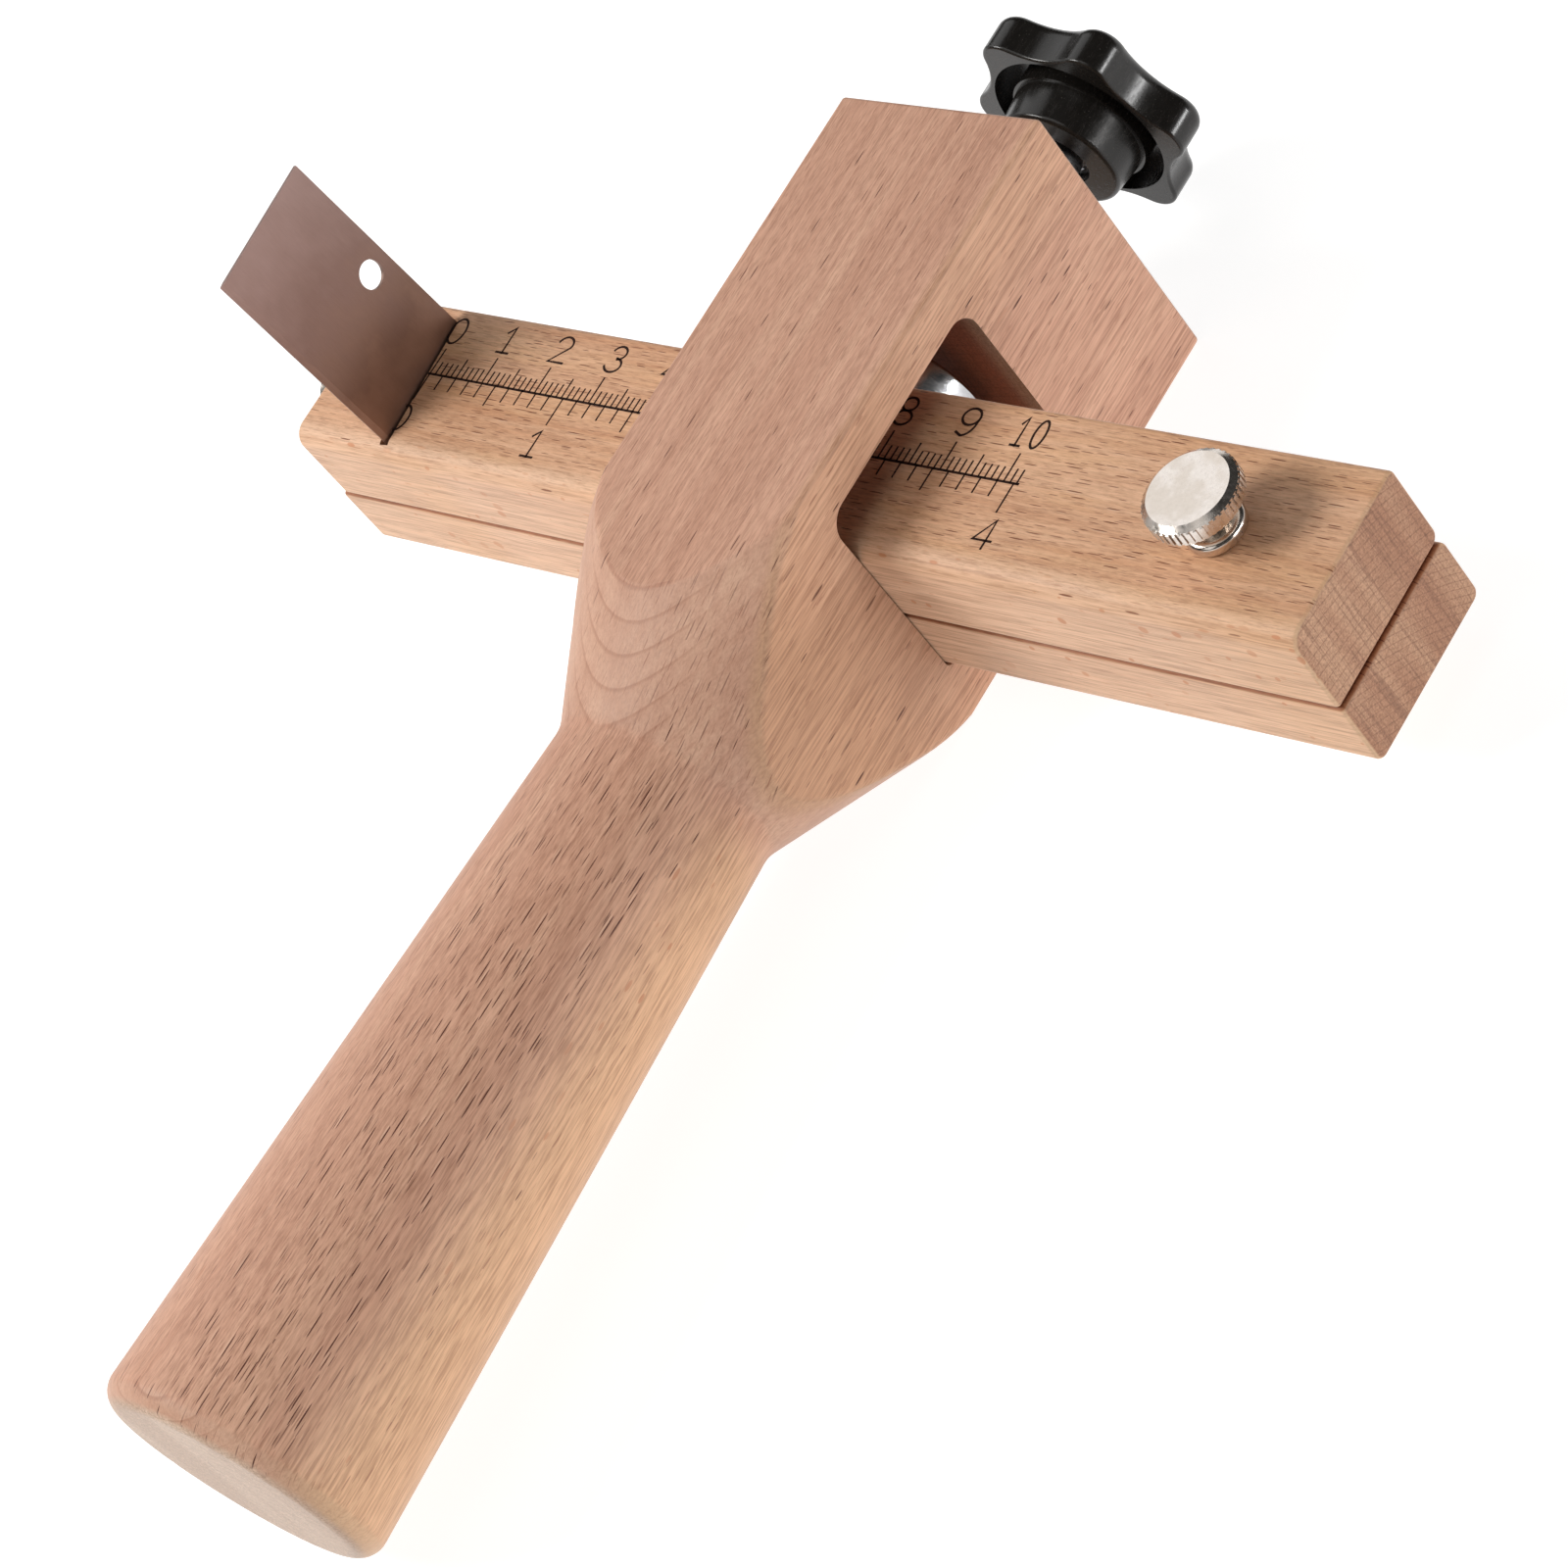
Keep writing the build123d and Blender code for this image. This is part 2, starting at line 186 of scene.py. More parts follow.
# One dash's edge and its least size and shade, as shares of the largest.
DASH_EDGE = (0.75, 1.05)
LEAST_DASH = 0.45
LEAST_SHADE = 0.3


def dashes(n, place, cell, radius, keep, seed):
    """A mask of short spindle-shaped dashes: one to a cell at most, cell and radius in mm along
    the grain, across it and in depth, and keep the share of cells that have one."""
    shifted = n.vector("ADD", place, (seed, seed * 1.7, seed * 2.3))
    scaled = n.vector("DIVIDE", shifted, cell)
    middle = n.add("TexVoronoi", {"Vector": scaled, "Scale": 1.0, "Randomness": 1.0},
                   out="Position", feature="F1")
    reach = tuple(c / r for c, r in zip(cell, radius))
    stretched = n.vector("MULTIPLY", n.vector("SUBTRACT", scaled, middle), reach)
    distance = n.add("VectorMath", {0: stretched}, out="Value", operation="LENGTH")
    pick, size, tone = n.split(middle.node.outputs["Color"])
    kept = n.math("LESS_THAN", pick, keep)
    near = n.math("DIVIDE", distance, n.line(size, 0, 1, LEAST_DASH, 1.0))
    return n.times(n.fall(near, *DASH_EDGE), kept, n.line(tone, 0, 1, LEAST_SHADE, 1.0))


# Wood.

# Noises: the scale per mm along the grain, across it and in depth, then detail and roughness.
SWAY_ACROSS, SWAY_DEPTH = ((0.018, 0.05, 0.05), 2.0, 0.5), ((0.039, 0.104, 0.104), 1.0, 0.5)
FINE, COARSE = ((0.12, 3.4, 3.4), 3.0, 0.6), ((0.035, 0.9, 0.9), 3.0, 0.55)
BAND, PORES = ((0.012, 0.16, 0.16), 2.0, 0.5), ((0.6, 5.2, 5.2), 3.0, 0.65)
BEAM_CLOUD = ((0.03, 0.25, 1.0), 2.0, 0.5)
CLOUD_PLACE = 4.4

# Noises of the end grain, the same all along it: the scale across and in depth, the place along
# the grain that they are taken at, then detail and roughness.
END_RAY, END_BAND = (0.9, 0.02, 3.1, 2.0, 0.6), (0.22, 0.02, 7.7, 1.0, 0.5)
END_SPECK = (3.4, 3.4, 9.7, 4.0, 0.7)

# The parts of these noises that their changes of colour run between, and their shares.
TONE_RANGE, STREAK_RANGE = (0.36, 0.64), (0.38, 0.62)
END_RANGE, RAY_LINE, CLOUD_RANGE = (0.36, 0.62), (0.0, 0.035), (0.45, 0.65)
BAND_SHARE, COARSE_SHARE = 0.55, 0.45

# How far a face leans, as part of its normal, where each change in the look starts and ends.
SIDE_LEAN, FIBRE_LEAN, RING_LEAN, GREY_LEAN = (0.5, 0.9), (0.1, 0.4), (0.03, 0.2), (0.1, 0.38)
EDGE_ON_LEAN, BROAD_LEAN, END_LEAN = (0.30, 0.55), (0.45, 0.8), (0.72, 0.97)

# The share of long streaks among the fibres, and of the fibres' strength that a slanted cut keeps.
LONG_IN_FRONT, LONG_AT_SIDES = 0.45, 0.85
SLANT_FIBRE = 0.5

# Relief of the fibres, pores and slits, the bump's strength and depth in metres, and the finish.
FINE_RELIEF, PORE_RELIEF, SLIT_RELIEF = 0.5, 0.3, 0.9
WOOD_BUMP = (0.35, 0.00012)
WOOD_ROUGH = (0.52, 0.66)
WOOD_FINISH = {"Specular_IOR_Level": 0.38, "Sheen_Weight": 0.2, "Sheen_Roughness": 0.3}

# Places in a ring, 0 to 1, where its dark late wood and its line rise and drop.
LATE_WOOD = ((0.25, 0.93), (0.95, 1.0))
RING_LINE = ((0.80, 0.93), (0.94, 1.0))
END_LINE = ((0.78, 0.90), (0.92, 1.0))

# Colours that the wood is multiplied by.
STREAKS = [(0.0, (0.72, 0.66, 0.62, 1)), (0.5, (0.96, 0.95, 0.94, 1)), (1.0, (1.12, 1.13, 1.14, 1))]
SPECKS = [(0.0, (0.70, 0.66, 0.62, 1)), (1.0, (1.18, 1.18, 1.17, 1))]
LATE_TINT, RING_TINT = (0.80, 0.70, 0.63, 1), (0.66, 0.52, 0.45, 1)
SLANT_TINT = (0.94, 0.98, 0.99, 1)

# For the dashes: seeds, shares of the cells that are filled, and strengths of colour, one of them
# that of the pale painted highlight beside the flecks.
DENSE_SEED, SPARSE_SEED, HAIR_SEED, FLAKE_SEED, SPOT_SEED = 11.3, 47.9, 5.9, 83.1, 29.5
SPARSE_KEEP, HAIR_KEEP, LIP_HIGHLIGHT_KEEP, FLAKE_KEEP, SPOT_KEEP = 0.5, 0.8, 0.22, 0.35, 0.75
SPARSE_SHADE, LIP_HIGHLIGHT_STRENGTH, END_SHADE = 0.75, 0.5, 0.5


def end_grain(n, a, d, level, colours, look):
    """The fibres cut across: bands and lines of the rays, crossed by the rings."""
    def cut(across, depth, place, detail, roughness):
        point = n.join(n.times(a, across), n.times(d, depth), place)
        return n.noise(point, 1.0, detail, roughness)

    ray_line = n.fall(n.size(n.minus(cut(*END_RAY), 0.5)), *RAY_LINE)
    ring_line = n.between(n.math("FRACT", n.math("DIVIDE", level, look["end_ring"])), *END_LINE)
    colour = n.mix(n.span(cut(*END_BAND), *END_RANGE), colours["end_dark"], colours["end"])
    for mask in (ray_line, ring_line):
        colour = n.mix(n.times(mask, END_SHADE), colour, colours["end_line"])
    return n.tint(1.0, colour, n.ramp(n.line(cut(*END_SPECK), *NOISE_CORE), SPECKS))


def beech(name, grain_axis, colours, look, offset, zones, hollow):
    """Beech with its grain along grain_axis (0 for X, 1 for Y) and its rings stacked along Z.
    zones(n, x, y, z) gives, in this order, how dense the dark flecks are, how far the wood is its
    deep colour and its warm one, how dense the orange spots are and how clearly the rings show.
    hollow(n, x, y, z) is 1 where painted shade darkens the wood, in a recess."""
    n = Nodes(name)
    x, y, z = n.split(n.millimetres())
    along, across = (x, y) if grain_axis == 0 else (y, x)
    own = n.vector("ADD", n.join(along, across, z), offset)

    # The grain wanders a little on its way along the piece.
    side = n.times(n.minus(n.noise(own, *SWAY_ACROSS), 0.5), look["sway"])
    lift = n.times(n.minus(n.noise(own, *SWAY_DEPTH), 0.5), look["sway"])
    g, a, d = n.split(own)
    a, d = n.plus(a, side), n.plus(d, lift)
    place = n.join(g, a, d)

    # Growth rings, curved a little about the grain.
    level = n.plus(n.plus(d, n.times(a, a, look["bow"])), n.times(a, look["slope"]))
    phase = n.math("FRACT", n.math("DIVIDE", level, look["ring"]))

    # Fibres at two sizes, short pores and wide bands of tone.
    fine, coarse, band, pores = (n.noise(place, *kind) for kind in (FINE, COARSE, BAND, PORES))

    density, deep, warm, spotted, ringed = zones(n, x, y, z)
    nx, ny, nz = n.split(n.normal())
    n_along, n_across = (nx, ny) if grain_axis == 0 else (ny, nx)
    slant = n.size(n_along)
    colour = n.ramp(n.line(n.blend(band, BAND_SHARE, coarse, COARSE_SHARE), *TONE_RANGE),
                    [(0.0, colours["pale"]), (0.5, colours["middle"]), (1.0, colours["dark"])])
    colour = n.mix(deep, colour, colours["deep"])
    colour = n.mix(warm, colour, colours["warm"])

    # The fibres run on as long streaks at the sides, and break into short ones in front.
    long = n.span(n.size(n_across), *SIDE_LEAN, LONG_IN_FRONT, LONG_AT_SIDES)
    streak = n.line(n.blend(fine, long, pores, n.minus(1.0, long)), *STREAK_RANGE)
    fibre = n.span(slant, *FIBRE_LEAN, look["fibre"], SLANT_FIBRE * look["fibre"])
    colour = n.tint(fibre, colour, n.ramp(streak, STREAKS))
    ringed = n.times(ringed, n.span(slant, *RING_LEAN, look["flat_rings"], 1.0))
    colour = n.tint(n.times(n.between(phase, *LATE_WOOD), ringed, look["late"]), colour, LATE_TINT)
    colour = n.tint(n.times(n.between(phase, *RING_LINE), ringed, look["line"]), colour, RING_TINT)
    # Cut at a slant, as on the cone, the wood is a little greyer.
    colour = n.tint(n.span(slant, *GREY_LEAN), colour, SLANT_TINT)

    # The rays stand in sheets, turned a little about the grain. They are seen edge on, as dark
    # slits, where the surface faces along the sheets, and broadside, as soft flakes, at the sides.
    turn = math.radians(look["turn"])
    along_t, along_s = (math.cos(turn), -math.sin(turn)), (math.sin(turn), math.cos(turn))
    t, s = (n.blend(a, u, d, v) for u, v in (along_t, along_s))
    face_t, face_s = (n.size(n.blend(n_across, u, nz, v)) for u, v in (along_t, along_s))
    edge_on = n.span(face_s, *EDGE_ON_LEAN)
    front, broad = n.join(g, t, s), n.join(g, s, t)
    beside = n.join(g, n.plus(t, look["lip_highlight"]), s)
    dense = dashes(n, front, look["cell"], look["fleck"], look["keep"], DENSE_SEED)
    sparse = dashes(n, front, look["cell2"], look["fleck2"], SPARSE_KEEP, SPARSE_SEED)
    slits = n.times(n.most(n.times(dense, density), n.times(sparse, SPARSE_SHADE)), edge_on)
    hairs = dashes(n, front, look["hair_cell"], look["hair"], HAIR_KEEP, HAIR_SEED)
    colour = n.mix(n.times(hairs, look["hairs"], edge_on), colour, colours["hair"])
    # Beside each fleck, a pale painted highlight, as on a lit edge.
    lip_highlight = dashes(n, beside, look["cell"], look["fleck"], LIP_HIGHLIGHT_KEEP, DENSE_SEED)
    lip_highlight = n.times(lip_highlight, density, edge_on)
    colour = n.mix(n.math("MULTIPLY", lip_highlight, LIP_HIGHLIGHT_STRENGTH, clamp=True), colour, colours["lip_highlight"])
    colour = n.mix(n.math("MULTIPLY", slits, look["depth"], clamp=True), colour, colours["slit"])
    flake = dashes(n, broad, look["flake_cell"], look["flake"], FLAKE_KEEP, FLAKE_SEED)
    flake = n.times(flake, n.span(face_t, *BROAD_LEAN), look["flakes"])
    spots = dashes(n, front, look["spot_cell"], look["spot"], SPOT_KEEP, SPOT_SEED)
    colour = n.mix(n.most(flake, n.times(spots, spotted)), colour, colours["flake"])

    ends = end_grain(n, a, d, level, colours, look)
    colour = n.mix(n.span(slant, *END_LEAN), colour, ends)
    # Painted shade: recesses, such as the mortise's walls and the seam between the beams, are
    # tinted darker.
    colour = n.tint(hollow(n, x, y, z), colour, colours["hollow"])

    relief = n.minus(n.blend(fine, FINE_RELIEF, pores, PORE_RELIEF), n.times(slits, SLIT_RELIEF))
    return n.finish(Base_Color=colour, Roughness=n.line(fine, *NOISE_RANGE, *WOOD_ROUGH),
                    Normal=n.bump(relief, *WOOD_BUMP), **WOOD_FINISH)


handle_colours = {
    "pale": srgb(205, 161, 136), "middle": srgb(198, 152, 128),
    "dark": srgb(190, 143, 119), "deep": srgb(186, 139, 109), "warm": srgb(208, 166, 129),
    # The pale colour beside the flecks is a painted highlight.
    "slit": srgb(84, 42, 26), "lip_highlight": srgb(228, 190, 165), "hair": srgb(140, 90, 68),
    "flake": srgb(180, 118, 84), "end": srgb(200, 174, 153),
    "end_dark": srgb(188, 159, 137), "end_line": srgb(170, 137, 115),
    # The last tint is painted shade, darker and redder, on the mortise's walls.
    "hollow": (0.75, 0.42, 0.32, 1)}
beam_colours = {
    "pale": srgb(220, 177, 144), "middle": srgb(211, 165, 131),
    "dark": srgb(201, 150, 114), "deep": srgb(222, 187, 158), "warm": srgb(214, 166, 120),
    # The pale colour beside the flecks is a painted highlight.
    "slit": srgb(122, 72, 46), "lip_highlight": srgb(228, 196, 168), "hair": srgb(168, 116, 82),
    "flake": srgb(193, 128, 88), "end": srgb(180, 140, 112),
    "end_dark": srgb(160, 116, 90), "end_line": srgb(122, 82, 63),
    # The last tint is painted shade in the seam between the beams.
    "hollow": (0.48, 0.30, 0.22, 1)}

# sway is how far the grain wanders, ring the rings' spacing, bow and slope their curve and tilt,
# flat_rings how clearly they show on a face along the grain, late and line how dark they are, and
# end_ring their spacing on the end grain. fibre, hairs, depth and flakes are strengths of colour.
# turn is the angle of the sheets of rays, keep the share of cells with a fleck, and lip how far
# from it its pale painted highlight stands. Each _cell and the size beside it are as in dashes.
# Lengths in mm.
handle_look = {
    "sway": 0.3, "ring": 1.66, "bow": -0.0073, "slope": -0.017, "flat_rings": 0.1,
    "fibre": 1.0, "late": 0.25, "line": 0.45,
    "turn": 30.0, "keep": 0.9, "cell": (4.2, 0.7, 2.4), "fleck": (2.1, 0.10, 1.5),
    "cell2": (5.0, 1.4, 3.2), "fleck2": (1.5, 0.09, 1.4),
    "lip_highlight": 0.2, "depth": 1.5,
    "hair_cell": (2.6, 0.62, 2.0), "hair": (1.2, 0.075, 1.0), "hairs": 0.75, "end_ring": 1.66,
    "flake_cell": (9.0, 4.0, 5.0), "flake": (2.0, 0.30, 0.9), "flakes": 0.4,
    "spot_cell": (6.0, 2.0, 2.6), "spot": (1.1, 0.24, 1.2)}
beam_look = {
    "sway": 0.8, "ring": 2.1, "bow": 0.010, "slope": 0.12, "flat_rings": 0.8,
    "fibre": 0.9, "late": 0.12, "line": 0.18,
    "turn": 0.0, "keep": 0.9, "cell": (3.2, 0.62, 2.2), "fleck": (1.4, 0.10, 1.1),
    "cell2": (5.0, 1.2, 3.0), "fleck2": (1.4, 0.10, 1.1),
    "lip_highlight": 0.16, "depth": 1.6,
    "hair_cell": (2.6, 0.5, 2.0), "hair": (1.2, 0.07, 1.0), "hairs": 0.6, "end_ring": 1.3,
    "flake_cell": (3.6, 1.5, 3.0), "flake": (0.9, 0.22, 0.9), "flakes": 0.5,
    "spot_cell": (3.4, 1.1, 2.6), "spot": (0.9, 0.24, 0.9)}


# Where the wood changes, in mm, each pair being where the change starts and ends. T and S lie
# across and along the grip's sheets of rays.
SEAM_Z = (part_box("rear_beam")[1].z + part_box("front_beam")[0].z) / 2 / MM
HANDLE_AXIS_Z = (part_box("clamp_stud")[0].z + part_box("clamp_stud")[1].z) / 2 / MM
GRIP_Y, CONE_Y, NECK_Y = (-50, -41), (-26, -20), (-28, -12)
FLECKED_T, FLECKED_S, CONE_X = ((-10.0, -7.5), (7.0, 9.5)), (2, 6), (2, 8)
SPOTTED_T, WARM_T = ((8.5, 10.0), (13.0, 14.5)), (5, 15)
SIDE_X, SIDE_Y, SIDE_Z = (14.5, 16.2), (-14, 6), (27, 39)
RINGED_X = (6, 11)
# The mortise's walls and the seam between the beams get painted shade within these bounds.
MORTISE_X, MORTISE_Y, MORTISE_Z = (12, 16), (-12.2, 20.3), (7.3, 36.9)
SEAM_WIDTH = (0.25, 0.6)
BEAM_EDGE_Y, BEAM_FLECKED_Y = (-10.5, -7.5), (-9.5, -7.0)

# How strong each change is, 1 being the whole of it.
GRIP_FLECKS, CONE_FLECKS, LEAST_FLECKS, GRIP_SPOTS = 0.94, 0.4, 0.06, 0.8
# The last is the strength of the painted shade on the head's right side at the neck.
SIDE_CHANGE, SIDE_WARM, GRIP_WARM, GRIP_DEEP, NECK_SHADE = 0.9, 0.35, 0.8, 0.1, 0.8
SIDE_RINGS = 0.3
EDGE_FLECKS, FACE_FLECKS, EDGE_DEEP, EDGE_SPOTS, CLOUD_WARM = 0.10, 0.9, 0.6, 0.75, 0.3


def handle_zones(n, x, y, z):
    """Dark flecks crowd a band along the grip's front, and orange spots and warmer wood lie
    beside it. The head's right side is warmer below and in front of the mortise, and deeper at
    the neck, the deeper tone there being painted shade where the side turns down."""
    turn = math.radians(handle_look["turn"])
    up = n.minus(z, HANDLE_AXIS_Z)
    t = n.minus(n.times(x, math.cos(turn)), n.times(up, math.sin(turn)))
    s = n.blend(x, math.sin(turn), up, math.cos(turn))
    grip = n.fall(y, *GRIP_Y)
    band = n.times(n.between(t, *FLECKED_T), n.span(s, *FLECKED_S))
    cone = n.times(n.fall(y, *CONE_Y), n.span(x, *CONE_X, 0.0, CONE_FLECKS))
    density = n.plus(n.times(band, n.most(n.times(grip, GRIP_FLECKS), cone)), LEAST_FLECKS)
    spotted = n.times(n.between(t, *SPOTTED_T), grip, GRIP_SPOTS)
    side = n.most(n.span(y, *SIDE_Y, SIDE_CHANGE, 0.0), n.span(z, *SIDE_Z, 0.0, SIDE_CHANGE))
    side = n.times(side, n.span(x, *SIDE_X), n.minus(1.0, grip))
    # Painted shade: the right side darkens to the deep colour towards the neck, where it turns
    # down.
    neck = n.span(y, *NECK_Y, NECK_SHADE, 0.0)
    deep = n.most(n.times(band, grip, GRIP_DEEP), n.times(side, neck))
    warm = n.most(n.times(side, SIDE_WARM), n.times(n.span(t, *WARM_T), grip, GRIP_WARM))
    ringed = n.span(n.size(x), *RINGED_X, 1.0, SIDE_RINGS)
    return density, deep, warm, spotted, ringed


def mortise_walls(n, x, y, z):
    """1 inside the mortise, a little short of its mouths, where its walls get painted shade."""
    inside = n.fall(n.size(x), *MORTISE_X)
    for value, (low, high) in ((y, MORTISE_Y), (z, MORTISE_Z)):
        inside = n.times(inside, n.math("GREATER_THAN", value, low),
                         n.math("LESS_THAN", value, high))
    return inside


def beam_zones(n, x, y, z):
    """The beam's lower edge is paler, with orange spots in place of the dark flecks."""
    lower = n.fall(y, *BEAM_EDGE_Y)
    density = n.span(y, *BEAM_FLECKED_Y, EDGE_FLECKS, FACE_FLECKS)
    cloud = n.noise(n.join(x, y, CLOUD_PLACE), *BEAM_CLOUD)
    warm = n.span(cloud, *CLOUD_RANGE, 0.0, CLOUD_WARM)
    return density, n.times(lower, EDGE_DEEP), warm, n.times(lower, EDGE_SPOTS), 1.0


def seam_walls(n, x, y, z):
    """1 in the seam between the beams, where the wood is darkened as painted shade."""
    return n.fall(n.size(n.minus(z, SEAM_Z)), *SEAM_WIDTH)


# Other materials. Noises are given as for the wood, with one scale or one along X, Y and Z.
METAL_CLOUD, METAL_GRAIN = (0.35, 3.0, 0.55), (3.0, 0.6)
BLADE_CLOUD, BLADE_GRAIN = (0.16, 3.0, 0.55), ((1.0, 9.0, 0.5), 3.0, 0.6)
PEEL, SCUFF, DUST = (1.6, 2.0, 0.5), ((2.2, 0.5, 2.2), 4.0, 0.7), (5.0, 2.0, 0.6)
CHAR, MOTTLE = ((1.2, 4.0, 4.0), 4.0, 0.65), (0.02, 2.0, 0.5)

# Bumps: strength, and depth in metres.
METAL_BUMP, BLADE_BUMP = (0.10, 0.00004), (0.12, 0.00005)
PLASTIC_BUMP, CHAR_BUMP = (0.05, 0.0001), (0.3, 0.00005)

# How rough each surface is, or how far it strays, over the range of its noise.
BLADE_ROUGH, PLASTIC_ROUGH, CHAR_ROUGH = (0.36, 0.48), (0.21, 0.30), (0.7, 0.9)
BRUSHED_ROUGH, CLOUDED_ROUGH = (-0.06, 0.08), (-0.03, 0.05)
FLOOR_ROUGH, FLOOR_GLOW = 0.8, 0.86


def satin_metal(name, light, dark, rough, brush):
    """Metal with a fine brushed or turned grain, brush being the noise scale along X, Y and Z."""
    n = Nodes(name)
    point = n.millimetres()
    grain = n.noise(point, brush, *METAL_GRAIN)
    cloud = n.noise(point, *METAL_CLOUD)
    brushed = n.line(grain, *NOISE_RANGE, *(rough + stray for stray in BRUSHED_ROUGH))
    rough = n.plus(brushed, n.line(cloud, *NOISE_RANGE, *CLOUDED_ROUGH))
    return n.finish(Base_Color=n.mix(n.span(cloud, *NOISE_CORE), dark, light), Roughness=rough,
                    Normal=n.bump(grain, *METAL_BUMP), Metallic=1.0)


def blade_metal():
    """Spring steel with a brown tone, and painted light and shade along its height."""
    n = Nodes("blade_satin_steel")
    point = n.millimetres()
    z = n.split(point)[2]
    low, high = (v / MM for v in (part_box("front_beam")[1].z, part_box("blade")[1].z))
    grain = n.noise(point, *BLADE_GRAIN)
    cloud = n.noise(point, *BLADE_CLOUD)
    # Painted light and shade along the height: lightest at the foot, darkest half way up.
    rise = n.plus(n.line(z, low, high), n.line(cloud, *NOISE_RANGE, -0.12, 0.12))
    colour = n.ramp(rise, [(0.0, srgb(162, 132, 116)), (0.25, srgb(136, 110, 97)),
                           (0.55, srgb(130, 106, 98)), (1.0, srgb(147, 124, 118))])
    shine = n.ramp(n.line(grain, *NOISE_RANGE), [(0.0, grey(0.80)), (1.0, grey(1.12))])
    bump = n.bump(n.plus(grain, n.times(cloud, 0.3)), *BLADE_BUMP)
    return n.finish(Base_Color=n.tint(0.35, colour, shine), Normal=bump, Metallic=0.75,
                    Roughness=n.line(grain, *NOISE_RANGE, *BLADE_ROUGH))


def moulded_plastic():
    """Glossy black plastic with a faint orange-peel surface and handling scuffs."""
    n = Nodes("knob_black_plastic")
    point = n.millimetres()
    peel, scuff, dust = (n.noise(point, *kind) for kind in (PEEL, SCUFF, DUST))
    dust = n.times(n.span(dust, 0.66, 0.74), 0.35)
    colour = n.mix(n.span(scuff, 0.45, 0.75), srgb(23, 21, 19), srgb(31, 28, 26))
    bump = n.bump(n.plus(peel, n.times(scuff, 0.5)), *PLASTIC_BUMP)
    return n.finish(Base_Color=n.mix(dust, colour, srgb(120, 116, 110)), Normal=bump,
                    Roughness=n.span(scuff, 0.35, 0.75, *PLASTIC_ROUGH), Specular_IOR_Level=0.40)


def burnt_line():
    """The dark scorched wood of the scale marks."""
    n = Nodes("scale_burnt_brown")
    char = n.noise(n.millimetres(), *CHAR)
    colour = n.ramp(n.line(char, *NOISE_CORE),
                    [(0.0, srgb(28, 14, 10)), (0.6, srgb(40, 21, 15)), (1.0, srgb(66, 38, 27))])
    return n.finish(Base_Color=colour, Roughness=n.line(char, *NOISE_RANGE, *CHAR_ROUGH),
                    Normal=n.bump(char, *CHAR_BUMP), Specular_IOR_Level=0.2)


def floor_white():
    """The plain pale floor, lit a little from inside so that it stays white under the tool."""
    n = Nodes("studio_floor")
    mottle = n.noise(n.millimetres(), *MOTTLE)
    colour = n.ramp(mottle, [(0.3, grey(0.35)), (0.7, grey(0.37))])
    return n.finish(Base_Color=colour, Roughness=FLOOR_ROUGH, Specular_IOR_Level=0.1,
                    Emission_Color=grey(1), Emission_Strength=FLOOR_GLOW)


# What each piece is made of. A wood's offset, in mm, picks the part of the tree it is cut from.
HANDLE_OFFSET, FRONT_OFFSET, REAR_OFFSET = (3.0, 0.0, 7.53), (40.0, 9.0, 3.2), (140.0, 31.0, 14.0)
EVEN, TURNED, TURNED_FINE = (2.0, 2.0, 2.0), (1.0, 6.0, 1.0), (1.0, 8.0, 1.0)
nickel = satin_metal("nickel_plate", srgb(222, 214, 207), srgb(206, 196, 186), 0.20, EVEN)
brass = satin_metal("turned_brass", srgb(202, 168, 104), srgb(176, 138, 78), 0.30, TURNED)
zinc = satin_metal("zinc_steel", srgb(190, 190, 192), srgb(160, 160, 163), 0.28, TURNED)
bright = satin_metal("bright_steel", srgb(212, 212, 214), srgb(188, 188, 190), 0.16, TURNED_FINE)
materials = {
    "handle": beech("handle_beech", 1, handle_colours, handle_look, HANDLE_OFFSET, handle_zones,
                    mortise_walls),
    "front_beam": beech("front_beam_beech", 0, beam_colours, beam_look, FRONT_OFFSET, beam_zones,
                        seam_walls),
    "rear_beam": beech("rear_beam_beech", 0, beam_colours, beam_look, REAR_OFFSET, beam_zones,
                       seam_walls),
    "star_knob": moulded_plastic(), "blade": blade_metal(),
    "thumb_screw": nickel, "end_screw": nickel,
    "knob_insert": brass, "thumb_insert": brass, "end_insert": brass,
    "clamp_stud": zinc, "pad_clip": zinc,
    "clamp_pad": bright, "knob_bush": bright}
for name, obj in nodes.items():
    obj.data.materials.clear()
    obj.data.materials.append(materials[name])


# The scale on the front beam, burnt lines a hair above its front face.

SCALE_ZERO = -68.67
BASELINE_Y = 1.15
MM_TICK, HALF_CM_TICK, CM_TICK = 3.0, 4.03, 5.05
TENTH_TICK, HALF_INCH_TICK, INCH_TICK = -0.95, -1.87, -2.89
CM_DIGIT_FOOT, INCH_DIGIT_FOOT = 6.1, -7.95
DIGIT_HEIGHT, DIGIT_WIDTH = 3.95, 2.65
TEN_WIDTH, TEN_SPREAD, TEN_SHIFT = 1.65, 1.33, -0.25
BASELINE_START, BASELINE_END = -0.1, 102.2
LAST_MM, LAST_CM, LAST_TENTH, LAST_INCH = 102, 10, 40, 4
CM, INCH = 10, 25.4
LINE_HALF_WIDTH, BASELINE_HALF_WIDTH, DIGIT_HALF_WIDTH = 0.16, 0.21, 0.21
LINE_RISE, LINE_SINK = 0.02, 0.03
MITRE_LIMIT, TOP_SHARE, SAME_POINT = 0.55, 0.72, 1e-6


def arc(cx, cy, rx, ry, start, end, steps=14):
    """Points of an elliptical arc, angles in degrees."""
    out = []
    for i in range(steps + 1):
        angle = math.radians(start + (end - start) * i / steps)
        out.append((cx + rx * math.cos(angle), cy + ry * math.sin(angle)))
    return out


